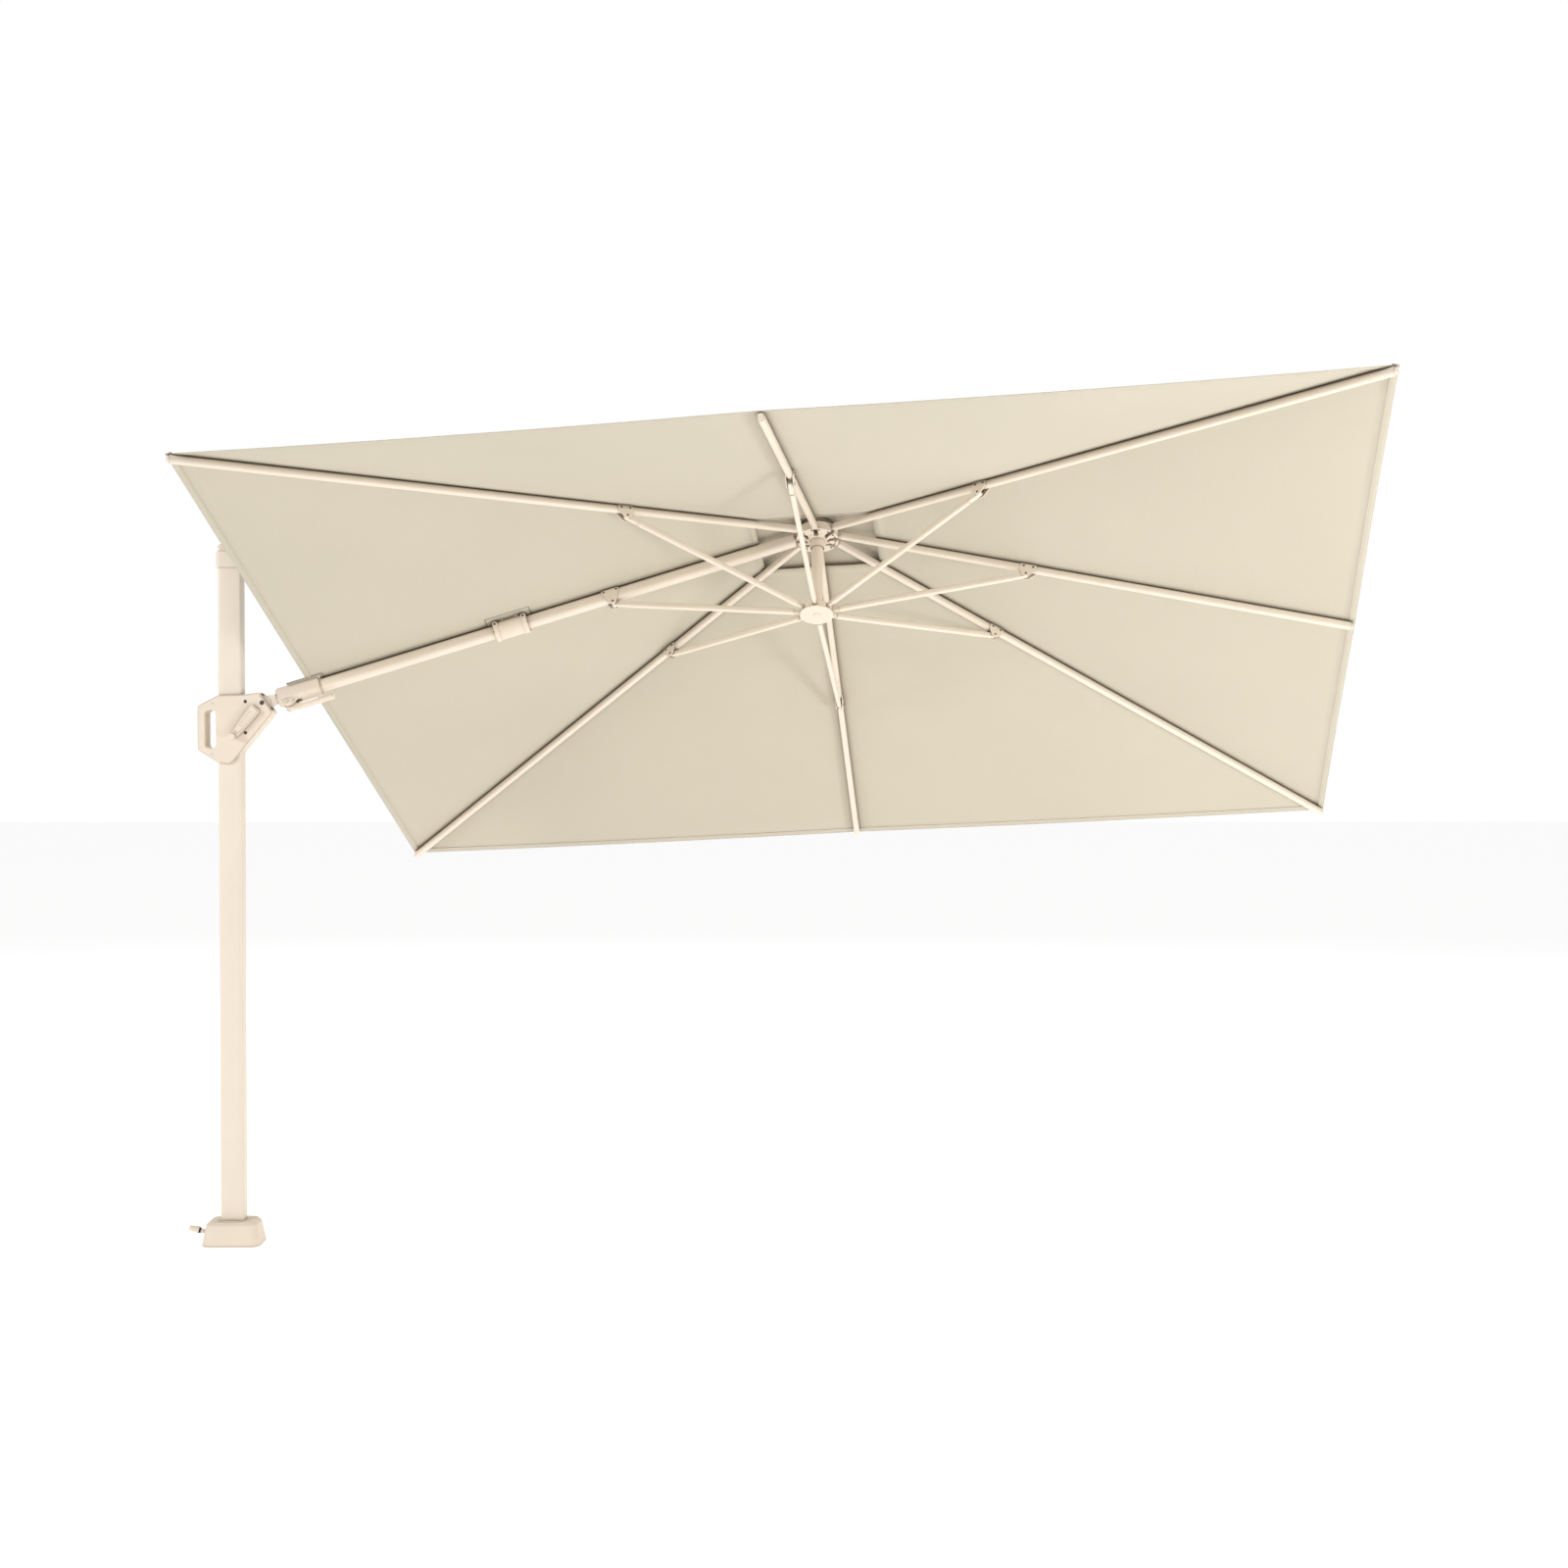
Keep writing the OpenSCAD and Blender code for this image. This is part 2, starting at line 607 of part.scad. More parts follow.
// ---- Braces ----
// Brace i of all eight runs from the pin under its rib to the runner. In plan it stays in its
// rib's plane, so its length and angle follow from the two pivots
function pin_drop(i) = i == 7 ? arm_pin_drop : brace_pin_drop;
function brace_pin(i) = [brace_at * cos(all_slopes[i]) - pin_drop(i) * sin(all_slopes[i]),
    -brace_at * sin(all_slopes[i]) - pin_drop(i) * cos(all_slopes[i])];
function brace_run(i) = brace_pin(i) - [runner_pin_at, -runner_drop];
tongue_len = 46;
lower_tongue_w = 9;
lower_eye_r = 7;

module brace(i) color(warm) in_canopy() rotate([0, 0, all_turns[i]])
    translate([runner_pin_at, 0, -runner_drop])
    rotate([0, -atan2(brace_run(i).y, brace_run(i).x), 0]) {
        brace_len = norm(brace_run(i));
        difference() {
            union() {
                tube(tongue_len - 14, brace_len - tongue_len, brace_w, brace_h, brace_r,
                    brace_wall);
                for (x = [tongue_len - 14, brace_len - tongue_len - 14])
                    bar(x, x + 14, brace_w - 2 * brace_wall, brace_h - 2 * brace_wall,
                        brace_r - brace_wall / 2);
                standing(-lower_tongue_w / 2, lower_tongue_w)
                    polygon(concat(arc([0, 0], lower_eye_r, 90, 270, 12),
                        [[tongue_len - 14, -7], [tongue_len - 14, 7]]));
                translate([brace_len, 0, 0]) standing(-7, 14)
                    polygon(concat([[-tongue_len, 7], [-tongue_len, -7]],
                        arc([0, 0], eye_r - 1, -90, 90, 12)));
            }
            cross_pin(pin_r + fit, 30);
            translate([brace_len, 0, 0]) cross_pin(pin_r + fit, 30);
        }
    }

module brace_inner_near() brace(0);
module brace_near() brace(1);
module brace_outer_near() brace(2);
module brace_outer() brace(3);
module brace_outer_far() brace(4);
module brace_far() brace(5);
module brace_inner_far() brace(6);
module brace_arm() brace(7);

// ---- Runner ----
// The brace whose pin carries the runner
carrier = 2;
runner_slot_w = 17;
runner_low = runner_drop + 16;
module runner() color(cream) in_canopy() {
    difference() {
        union() {
            translate([0, 0, -runner_low]) cylinder(r = runner_r, h = 5);
            translate([0, 0, -runner_low + 5]) cylinder(r = runner_r - 4, h = 22);
        }
        for (i = [0 : 7]) rotate([0, 0, all_turns[i]])
            translate([post_r, -runner_slot_w / 2, -runner_low + 5])
                cube([60, runner_slot_w, 40]);
        translate([0, 0, -runner_low - 1]) cylinder(r = 12, h = 3.5);
    }
    rotate([0, 0, all_turns[carrier]]) translate([runner_pin_at, 0, -runner_drop])
        cross_pin(pin_r, runner_slot_w + 1);
}

module runner_post() color(warm) in_canopy()
    translate([0, 0, -runner_low + 27]) difference() {
        cylinder(r = post_r, h = runner_low - 27 + hub_low - 12);
        translate([0, 0, 4]) cylinder(r = post_r - 2.5, h = 400);
    }

module runner_button() color(warm) in_canopy() translate([0, 0, -runner_low - 2.4])
    rotate_extrude() polygon(concat([[0, 0], [7, 0]], arc([9.5, 2], 2, -90, 0, 4),
        [[11.5, 4.9], [0, 4.9]]));

// ---- Cloth ----
// Shell of a pyramid l by w, thick t, with its apex at height z and rising h to it
module pyramid(l, w, h, z, t) translate([0, 0, z]) polyhedron(
    points = [[0, 0, 0], [-l, -w, -h], [l, -w, -h], [l, w, -h], [-l, w, -h],
        [0, 0, t], [-l, -w, t - h], [l, -w, t - h], [l, w, t - h], [-l, w, t - h]],
    faces = [[0, 1, 2], [0, 2, 3], [0, 3, 4], [0, 4, 1], [5, 7, 6], [5, 8, 7], [5, 9, 8],
        [5, 6, 9], [1, 6, 7, 2], [2, 7, 8, 3], [3, 8, 9, 4], [4, 9, 6, 1]]);

vent_open_l = 200;
vent_open_w = 150;
vent_l = 290;
vent_w = 220;
vent_lift = 20;
apex_z = cloth_gap / cos(slope_side);
// Slot in the cloth round the saddle
saddle_slot_l = 144;
saddle_slot_w = 84;
// Notch in the cloth's rim round the arm's tilt socket
notch_l = 50;
notch_w = 52;

module canopy() color(sand) in_canopy() difference() {
    pyramid(half_l, half_w, canopy_rise, apex_z, cloth_t);
    translate([0, 0, -150]) linear_extrude(300)
        polygon(round_rect(2 * vent_open_l, 2 * vent_open_w, 20));
    translate([(saddle_at - arm_len) * cos(slope_long), 0, -canopy_rise / 2 - 50])
        cube([saddle_slot_l, saddle_slot_w, canopy_rise], center = true);
    translate([-half_l, 0, -canopy_rise]) cube([2 * notch_l, notch_w, canopy_rise], center = true);
}

module vent() color(sand) in_canopy()
    pyramid(vent_l, vent_w, canopy_rise * vent_l / half_l, apex_z + vent_lift, cloth_t);

base_plate();
foot_cover();
turntable();
pedal();
mast_tube();
mast_cap();
mast_bracket();
carriage_near_shell();
carriage_far_shell();
guide_roller_back_top();
guide_roller_back_low();
guide_roller_front_top();
guide_roller_front_low();
carriage_bolts();
winch_drum();
crank_arm();
crank_knob();
arm_neck();
tilt_socket();
tilt_lever();
lever_plate();
arm_tube();
arm_end();
arm_clevis();
saddle();
saddle_screws();
stay_tube();
stay_forks();
hub();
hub_pins();
hub_collar();
rib_inner_near();
rib_near();
rib_outer_near();
rib_outer();
rib_outer_far();
rib_far();
rib_inner_far();
clevis_inner_near();
clevis_near();
clevis_outer_near();
clevis_outer();
clevis_outer_far();
clevis_far();
clevis_inner_far();
brace_inner_near();
brace_near();
brace_outer_near();
brace_outer();
brace_outer_far();
brace_far();
brace_inner_far();
brace_arm();
runner();
runner_post();
runner_button();
canopy();
vent();
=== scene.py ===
"""Looks of the cantilever parasol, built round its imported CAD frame. Metres, +Z up."""

import json
import math

import bmesh
import bpy
import numpy as np
from mathutils import Matrix, Vector

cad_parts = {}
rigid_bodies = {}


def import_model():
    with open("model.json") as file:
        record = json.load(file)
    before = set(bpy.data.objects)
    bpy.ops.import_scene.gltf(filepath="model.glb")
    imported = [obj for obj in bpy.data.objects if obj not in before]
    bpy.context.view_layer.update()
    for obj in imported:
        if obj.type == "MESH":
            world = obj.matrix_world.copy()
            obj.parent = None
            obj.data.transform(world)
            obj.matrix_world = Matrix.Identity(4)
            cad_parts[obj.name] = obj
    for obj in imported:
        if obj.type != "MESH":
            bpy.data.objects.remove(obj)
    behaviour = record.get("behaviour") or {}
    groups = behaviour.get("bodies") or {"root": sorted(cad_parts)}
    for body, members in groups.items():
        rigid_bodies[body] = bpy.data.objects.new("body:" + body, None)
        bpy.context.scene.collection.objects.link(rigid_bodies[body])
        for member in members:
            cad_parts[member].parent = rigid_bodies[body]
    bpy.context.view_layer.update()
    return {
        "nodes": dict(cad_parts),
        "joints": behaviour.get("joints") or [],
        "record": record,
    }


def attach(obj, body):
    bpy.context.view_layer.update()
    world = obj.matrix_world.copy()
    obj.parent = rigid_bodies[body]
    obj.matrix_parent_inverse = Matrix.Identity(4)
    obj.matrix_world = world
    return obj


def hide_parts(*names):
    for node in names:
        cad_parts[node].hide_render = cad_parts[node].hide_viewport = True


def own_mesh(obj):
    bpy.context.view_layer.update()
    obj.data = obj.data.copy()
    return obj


for startup_object in list(bpy.data.objects):
    bpy.data.objects.remove(startup_object)

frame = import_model()

# ---- Driving sizes, the same as the CAD's ----
ARM_PIVOT = np.array([0.111, 0.0, 1.851])
ARM_RISE = math.radians(17.1)
SIDE_TILT = math.radians(-30.8)
ARM_LENGTH = 1.980
ARM_TO_RIB_LINE = 0.008
HALF_LENGTH = 1.750
HALF_WIDTH = 1.300
RISE = 0.510
CLOTH_GAP = 0.0166
SADDLE_AT = 0.882

# ---- Cloth ----
# Shares of the way from the crown to the rim
OPENING_SHARE = 0.1148
VENT_SHARE = 0.1655
CAP_SHARE = 0.012
VENT_LIFT = 0.022
# The sag is deepest at half of SAG_REACH, where share * (SAG_REACH - share) is SAG_PEAK
SAG = 0.011
SAG_REACH = 1.25
SAG_PEAK = 0.39
# How far the rim draws in between two ribs, and how late that sets in
SCALLOP = 0.0022
SCALLOP_POWER = 6
# The hem folds under by HEM_DROP, with its turn at HEM_TURN of the drop
HEM = 0.020
HEM_DROP = 0.0016
HEM_TURN = 0.6
HEM_MIDDLE = 0.5
CROWN_HEM = 0.8
# Each second half laps the first by SEAM_LAP, and by up to CROWN_LAP more toward the crown,
# but by no more than MOST_LAP of the gore's width
SEAM_LAP = 0.014
CROWN_LAP = 0.026
CROWN_LAP_POWER = 4
MOST_LAP = 0.32
LAP_LIFT = 0.0009
ROWS = 34
COLUMNS = 10


def turn_about(axis, angle):
    """3x3 rotation by angle about a row axis."""
    return np.array(Matrix.Rotation(angle, 3, axis))


def unit(v):
    """v at length 1."""
    return v / np.linalg.norm(v)


ARM_TURN = turn_about("Y", -ARM_RISE) @ turn_about("X", SIDE_TILT)
LONG_SLOPE = math.atan2(RISE, HALF_LENGTH)
SIDE_SLOPE = math.atan2(RISE, HALF_WIDTH)
CANOPY_TURN = ARM_TURN @ turn_about("Y", LONG_SLOPE)
CANOPY_AT = ARM_PIVOT + ARM_TURN @ np.array([ARM_LENGTH, 0, ARM_TO_RIB_LINE])
UP = CANOPY_TURN @ np.array([0, 0, 1.0])
APEX_LIFT = CLOTH_GAP / math.cos(SIDE_SLOPE)


def from_canopy(p):
    """A point of the canopy's frame in the row frame."""
    return CANOPY_AT + CANOPY_TURN @ np.asarray(p, float)


# The ribs in order round the canopy, with the plan place of each one's end
RIM = [
    ("arm", -HALF_LENGTH, 0),
    ("rib_inner_near", -HALF_LENGTH, -HALF_WIDTH),
    ("rib_near", 0, -HALF_WIDTH),
    ("rib_outer_near", HALF_LENGTH, -HALF_WIDTH),
    ("rib_outer", HALF_LENGTH, 0),
    ("rib_outer_far", HALF_LENGTH, HALF_WIDTH),
    ("rib_far", 0, HALF_WIDTH),
    ("rib_inner_far", -HALF_LENGTH, HALF_WIDTH),
]


# ---- Materials ----
# A crevice is a place with another surface within reach, and its colour is darkened there as
# painted shade.
# LEAST is how dark the painted shade gets, and green and blue go darker than red by the two
# factors
CREVICE_REACH = 0.022
CREVICE_LEAST = 0.30
CLOTH_CREVICE_REACH = 0.034
CLOTH_CREVICE_LEAST = 0.22
CREVICE_RAMP = (0.14, 0.80)
CREVICE_GREEN = 0.86
CREVICE_BLUE = 0.66
OCCLUSION_SAMPLES = 8
COLOR_RAMP = (0.3, 0.7)
ROUGHNESS_RAMP = (0.35, 0.65)


def shaded(color, factor):
    """The colour times a factor."""
    return tuple(c * factor for c in color)


def new_material(name, color, roughness):
    """A material with a Principled shader, and its node tree's parts."""
    material = bpy.data.materials.new(name)
    material.use_nodes = True
    nodes, links = material.node_tree.nodes, material.node_tree.links
    shader = nodes["Principled BSDF"]
    shader.inputs["Base Color"].default_value = (*color, 1)
    shader.inputs["Roughness"].default_value = roughness
    return material, nodes, links, shader


def add_noise(nodes, links, scale, detail):
    """A noise texture in the object's own coordinates."""
    coordinates = nodes.new("ShaderNodeTexCoord")
    noise = nodes.new("ShaderNodeTexNoise")
    noise.inputs["Scale"].default_value = scale
    noise.inputs["Detail"].default_value = detail
    links.new(coordinates.outputs["Object"], noise.inputs["Vector"])
    return noise


def set_ramp(ramp, positions, low, high):
    """A ramp's two stops: their places and their colours."""
    for element, position, color in zip(ramp.color_ramp.elements, positions, (low, high)):
        element.position = position
        element.color = (*color, 1)


def vary_color(nodes, links, shader, noise, color, spread):
    """Base colour that drifts a little with the noise."""
    ramp = nodes.new("ShaderNodeValToRGB")
    darker = [c * (1 - spread) for c in color]
    paler = [min(1, c * (1 + spread)) for c in color]
    set_ramp(ramp, COLOR_RAMP, darker, paler)
    links.new(noise.outputs["Fac"], ramp.inputs["Fac"])
    links.new(ramp.outputs["Color"], shader.inputs["Base Color"])


def vary_roughness(nodes, links, shader, noise, low, high):
    """Roughness between low and high with the noise."""
    spread = nodes.new("ShaderNodeMapRange")
    spread.inputs["From Min"].default_value = ROUGHNESS_RAMP[0]
    spread.inputs["From Max"].default_value = ROUGHNESS_RAMP[1]
    spread.inputs["To Min"].default_value = low
    spread.inputs["To Max"].default_value = high
    links.new(noise.outputs["Fac"], spread.inputs["Value"])
    links.new(spread.outputs["Result"], shader.inputs["Roughness"])


def add_bump(nodes, links, shader, height, strength, distance):
    """Bump from a height output."""
    bump = nodes.new("ShaderNodeBump")
    bump.inputs["Strength"].default_value = strength
    bump.inputs["Distance"].default_value = distance
    links.new(height, bump.inputs["Height"])
    links.new(bump.outputs["Normal"], shader.inputs["Normal"])


def paint_crevice_shade(nodes, links, shader, reach, least):
    """Painted shade in the joints: the base colour darkens where another surface lies within
    reach.
    """
    occlusion = nodes.new("ShaderNodeAmbientOcclusion")
    occlusion.samples = OCCLUSION_SAMPLES
    occlusion.inputs["Distance"].default_value = reach
    crevice_shade_ramp = nodes.new("ShaderNodeValToRGB")
    set_ramp(crevice_shade_ramp, CREVICE_RAMP, (least, least * CREVICE_GREEN, least * CREVICE_BLUE), (1, 1, 1))
    links.new(occlusion.outputs["AO"], crevice_shade_ramp.inputs["Fac"])
    mix = nodes.new("ShaderNodeMix")
    mix.data_type = "RGBA"
    mix.blend_type = "MULTIPLY"
    mix.inputs["Factor"].default_value = 1.0
    links.new(shader.inputs["Base Color"].links[0].from_socket, mix.inputs["A"])
    links.new(crevice_shade_ramp.outputs["Color"], mix.inputs["B"])
    links.new(mix.outputs["Result"], shader.inputs["Base Color"])


def powder_coat(name, color):
    """Satin powder coat with a fine orange peel."""
    material, nodes, links, shader = new_material(name, color, roughness=0.4)
    drift = add_noise(nodes, links, scale=6, detail=3)
    vary_color(nodes, links, shader, drift, color, spread=0.018)
    vary_roughness(nodes, links, shader, drift, low=0.34, high=0.46)
    peel = add_noise(nodes, links, scale=900, detail=2)
    add_bump(nodes, links, shader, peel.outputs["Fac"], strength=0.22, distance=0.0004)
    shader.inputs["Coat Weight"].default_value = 0.12
    shader.inputs["Coat Roughness"].default_value = 0.3
    # Painted shade in the crevices
    paint_crevice_shade(nodes, links, shader, CREVICE_REACH, CREVICE_LEAST)
    return material


def moulding(name, color):
    """Moulded plastic with a fine grain."""
    material, nodes, links, shader = new_material(name, color, roughness=0.5)
    drift = add_noise(nodes, links, scale=9, detail=4)
    vary_color(nodes, links, shader, drift, color, spread=0.02)
    vary_roughness(nodes, links, shader, drift, low=0.44, high=0.58)
    grain = add_noise(nodes, links, scale=1700, detail=4)
    add_bump(nodes, links, shader, grain.outputs["Fac"], strength=0.3, distance=0.0003)
    shader.inputs["Specular IOR Level"].default_value = 0.42
    # Painted shade in the crevices
    paint_crevice_shade(nodes, links, shader, CREVICE_REACH, CREVICE_LEAST)
    return material


def plain_metal(name, color, roughness):
    """Plated steel with faint turning marks."""
    material, nodes, links, shader = new_material(name, color, roughness)
    shader.inputs["Metallic"].default_value = 0.9
    marks = add_noise(nodes, links, scale=260, detail=5)
    vary_roughness(nodes, links, shader, marks, roughness - 0.08, roughness + 0.1)
    add_bump(nodes, links, shader, marks.outputs["Fac"], strength=0.15, distance=0.0002)
    return material


def rubber(name, color):
    """Dull rubber."""
    material, nodes, links, shader = new_material(name, color, roughness=0.8)
    grain = add_noise(nodes, links, scale=700, detail=3)
    vary_roughness(nodes, links, shader, grain, low=0.7, high=0.88)
    add_bump(nodes, links, shader, grain.outputs["Fac"], strength=0.4, distance=0.0004)
    return material


def math_node(nodes, links, operation, a, b=None):
    """A Math node fed by outputs or numbers."""
    node = nodes.new("ShaderNodeMath")
    node.operation = operation
    for socket, value in zip(node.inputs, (a, b)):
        if value is None:
            continue
        if isinstance(value, (int, float)):
            socket.default_value = value
        else:
            links.new(value, socket)
    return node.outputs[0]


# Pitches, widths and places in metres, LENGTH a share of the pitch, the heights relative
THREAD_PITCH = 0.0016
SLUB_STRETCH = (14, 190, 1)
CLOUD_SHARE = 0.7
SLUB_SHARE = 0.3
SLUB_HEIGHT = 1.5
CLOTH_RAMP = (0.32, 0.68)
CLOTH_DARKER = 0.965
CLOTH_PALER = 1.02
STITCH_PITCH = 0.0052
STITCH_LENGTH = 0.68
STITCH_FROM_EDGE = 0.0155
STITCH_HALF_WIDTH = 0.0008
STITCH_DARKER = 0.84
STITCH_HEIGHT = 5.0


def canvas(name, color, stitched):
    """Woven polyester: threads both ways, a slub, and a row of stitches beside the hem.

    UV is metres along the hem and metres in from it.
    """
    material, nodes, links, shader = new_material(name, color, roughness=0.82)

    def calc(operation, a, b=None):
        """A Math node of this material."""
        return math_node(nodes, links, operation, a, b)

    uv = nodes.new("ShaderNodeUVMap").outputs["UV"]
    split = nodes.new("ShaderNodeSeparateXYZ")
    links.new(uv, split.inputs[0])
    along, inward = split.outputs["X"], split.outputs["Y"]
    warp = calc("SINE", calc("MULTIPLY", along, math.tau / THREAD_PITCH))
    weft = calc("SINE", calc("MULTIPLY", inward, math.tau / THREAD_PITCH))
    weave = calc("MULTIPLY", warp, weft)
    stretch = nodes.new("ShaderNodeMapping")
    stretch.inputs["Scale"].default_value = SLUB_STRETCH
    links.new(uv, stretch.inputs["Vector"])
    slub = nodes.new("ShaderNodeTexNoise")
    slub.inputs["Scale"].default_value = 1.0
    slub.inputs["Detail"].default_value = 3
    links.new(stretch.outputs["Vector"], slub.inputs["Vector"])
    cloud = add_noise(nodes, links, scale=1.3, detail=4)
    tone = calc("ADD", calc("MULTIPLY", cloud.outputs["Fac"], CLOUD_SHARE),
                calc("MULTIPLY", slub.outputs["Fac"], SLUB_SHARE))
    ramp = nodes.new("ShaderNodeValToRGB")
    set_ramp(ramp, CLOTH_RAMP, shaded(color, CLOTH_DARKER), shaded(color, CLOTH_PALER))
    links.new(tone, ramp.inputs["Fac"])
    height = calc("ADD", weave, calc("MULTIPLY", slub.outputs["Fac"], SLUB_HEIGHT))
    base = ramp.outputs["Color"]
    if stitched:
        off = calc("ABSOLUTE", calc("SUBTRACT", inward, STITCH_FROM_EDGE))
        near = calc("LESS_THAN", off, STITCH_HALF_WIDTH)
        phase = calc("FRACT", calc("DIVIDE", along, STITCH_PITCH))
        dash = calc("MULTIPLY", near, calc("LESS_THAN", phase, STITCH_LENGTH))
        mix = nodes.new("ShaderNodeMix")
        mix.data_type = "RGBA"
        links.new(dash, mix.inputs["Factor"])
        links.new(base, mix.inputs["A"])
        mix.inputs["B"].default_value = (*shaded(color, STITCH_DARKER), 1)
        base = mix.outputs["Result"]
        height = calc("ADD", height, calc("MULTIPLY", dash, STITCH_HEIGHT))
    links.new(base, shader.inputs["Base Color"])
    add_bump(nodes, links, shader, height, strength=0.35, distance=0.0004)
    shader.inputs["Sheen Weight"].default_value = 0.12
    shader.inputs["Sheen Roughness"].default_value = 0.5
    shader.inputs["Specular IOR Level"].default_value = 0.25
    # Painted shade in the crevices
    paint_crevice_shade(nodes, links, shader, CLOTH_CREVICE_REACH, CLOTH_CREVICE_LEAST)
    return material


CREAM = (0.835, 0.735, 0.615)
CREAM_CASING = (0.815, 0.71, 0.585)
SAND = (0.602, 0.546, 0.434)
COAT = powder_coat("powder_coat", CREAM)
CASING = moulding("casing", CREAM_CASING)
CLOTH = canvas("canvas", SAND, True)
BINDING = canvas("canvas_binding", shaded(SAND, 0.97), True)
# The slot pieces' edge seams: the cloth darkened to about a quarter, as painted shade
SEAM_SHADE = canvas("canvas_seam_shade", shaded(SAND, 0.24), False)
STEEL = plain_metal("plated_steel", (0.55, 0.53, 0.50), 0.38)
SCREW = plain_metal("dark_screw", (0.12, 0.10, 0.085), 0.45)
RIVET = plain_metal("dark_rivet", (0.16, 0.13, 0.11), 0.5)
RUBBER = rubber("roller_rubber", (0.03, 0.028, 0.025))
PLUG = moulding("light_plug", (0.9, 0.88, 0.84))
SLOT_MATERIAL = {
    "frame_coat": COAT,
    "moulded_casing": CASING,
    "canopy_cloth": CLOTH,
    "plain_steel": STEEL,
    "dark_screws": SCREW,
    "roller_rubber": RUBBER,
}


# ---- The CAD parts ----
BEVEL = {
    "foot_cover": 0.003,
    "tilt_socket": 0.0016,
    "mast_cap": 0.0015,
    "carriage_near_shell": 0.0014,
    "carriage_far_shell": 0.0014,
    "crank_arm": 0.0012,
    "saddle": 0.0012,
    "hub": 0.0012,
    "runner": 0.0012,
    "tilt_lever": 0.0012,
    "turntable": 0.0012,
    "pedal": 0.0008,
    "mast_tube": 0.0006,
}
PLAIN_BEVEL = 0.0007
BEVEL_SEGMENTS = 2
SHARP = math.radians(32)
WELD_DISTANCE = 0.00001
# The carriage's bolts have light plugs behind this x
PLUGS_BEHIND = -0.04
# From the middle plane of a clevis to just outside its cheeks, where only rivets stand
RIB_CHEEK = 0.0128
ARM_CHEEK = 0.0204


def dress(obj, material, width):
    """A finish, and small rounded edges, on a CAD part."""
    obj.data.materials.clear()
    obj.data.materials.append(material)
    if "custom_normal" in obj.data.attributes:
        obj.data.attributes.remove(obj.data.attributes["custom_normal"])
    for polygon in obj.data.polygons:
        polygon.use_smooth = True
        polygon.material_index = 0
    weld = obj.modifiers.new("weld", "WELD")
    weld.merge_threshold = WELD_DISTANCE
    bevel = obj.modifiers.new("bevel", "BEVEL")
    bevel.width = width
    bevel.segments = BEVEL_SEGMENTS
    bevel.limit_method = "ANGLE"
    bevel.angle_limit = SHARP
    bevel.harden_normals = True
    bevel.use_clamp_overlap = True


def paint_where(obj, material, wanted):
    """Gives the material to the faces whose centre satisfies wanted."""
    obj.data.materials.append(material)
    index = len(obj.data.materials) - 1
    for polygon in obj.data.polygons:
        if wanted(polygon.center):
            polygon.material_index = index


def paint_rivets():
    """Dark rivets in the clevises."""
    for body, x, y in RIM:
        side = CANOPY_TURN @ unit(np.array([-y, x, 0.0]))
        name = body.replace("rib", "clevis") if body != "arm" else "arm_clevis"
        cheek = ARM_CHEEK if body == "arm" else RIB_CHEEK

        def outside(centre):
            return abs((np.array(centre) - CANOPY_AT) @ side) > cheek

        paint_where(frame["nodes"][name], RIVET, outside)


def dress_frame():
    """Every CAD part in its slot's material."""
    slots = {s["node"]: s["material_slot"] for s in frame["record"]["subparts"]}
    for name, obj in frame["nodes"].items():
        dress(obj, SLOT_MATERIAL[slots[name]], BEVEL.get(name, PLAIN_BEVEL))
    paint_where(frame["nodes"]["carriage_bolts"], PLUG, lambda c: c.x < PLUGS_BEHIND)
    paint_rivets()


# ---- Meshes ----
def new_object(name, points, faces, uvs, material, body):
    """A mesh in the row frame that rides on a body. uvs has one pair per point."""
    mesh = bpy.data.meshes.new(name)
    mesh.from_pydata([tuple(p) for p in points], [], faces)
    layer = mesh.uv_layers.new(name="UVMap")
    for loop in mesh.loops:
        layer.data[loop.index].uv = uvs[loop.vertex_index]
    for polygon in mesh.polygons:
        polygon.use_smooth = True
    mesh.materials.append(material)
    obj = bpy.data.objects.new(name, mesh)
    bpy.context.scene.collection.objects.link(obj)
    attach(obj, body)
    return obj


def ring_faces(start, strips, steps, sides=None):
    """Quads in the strips between rings of points, which are numbered from start.

    A ring has steps points. A strip has a quad per step, or only as many as sides says.
    """
    faces = []
    for strip in range(strips):
        low, high = start + strip * steps, start + (strip + 1) * steps
        for k in range(sides or steps):
            onward = (k + 1) % steps
            faces.append((low + k, low + onward, high + onward, high + k))
    return faces


def rotation_about(point, axis, angle):
    """4x4 turn by angle about an axis through point."""
    move = Matrix.Translation(Vector(point))
    return move @ Matrix.Rotation(angle, 4, Vector(axis)) @ move.inverted()


def folded_places():
    """Each rib body's 4x4 move, seen from the arm, with the canopy folded to its limit."""
    joints = {j["name"]: j for j in frame["joints"]}
    ratios = {c["joint"]: c["ratio"] for c in frame["record"]["behaviour"]["couplings"]}
    main = joints["canopy_fold"]
    most = math.radians(main["range_deg"][1])
    hub = rotation_about(main["pos_m"], main["axis"], most)
    places = {"arm": Matrix.Identity(4), "hub": hub}
    for body, _, _ in RIM[1:]:
        joint = joints[body + "_fold"]
        angle = most * ratios[joint["name"]]
        places[body] = hub @ rotation_about(joint["pos_m"], joint["axis"], angle)
    return places


FOLDED = folded_places()


def turned(place, direction):
    """direction after a 4x4 move."""
    return np.array(place.to_3x3() @ Vector(direction))


def rim_point(i, lift=0.0):
    """Where the cloth ends over rib i."""
    _, x, y = RIM[i % 8]
    return from_canopy([x, y, APEX_LIFT - RISE + lift])


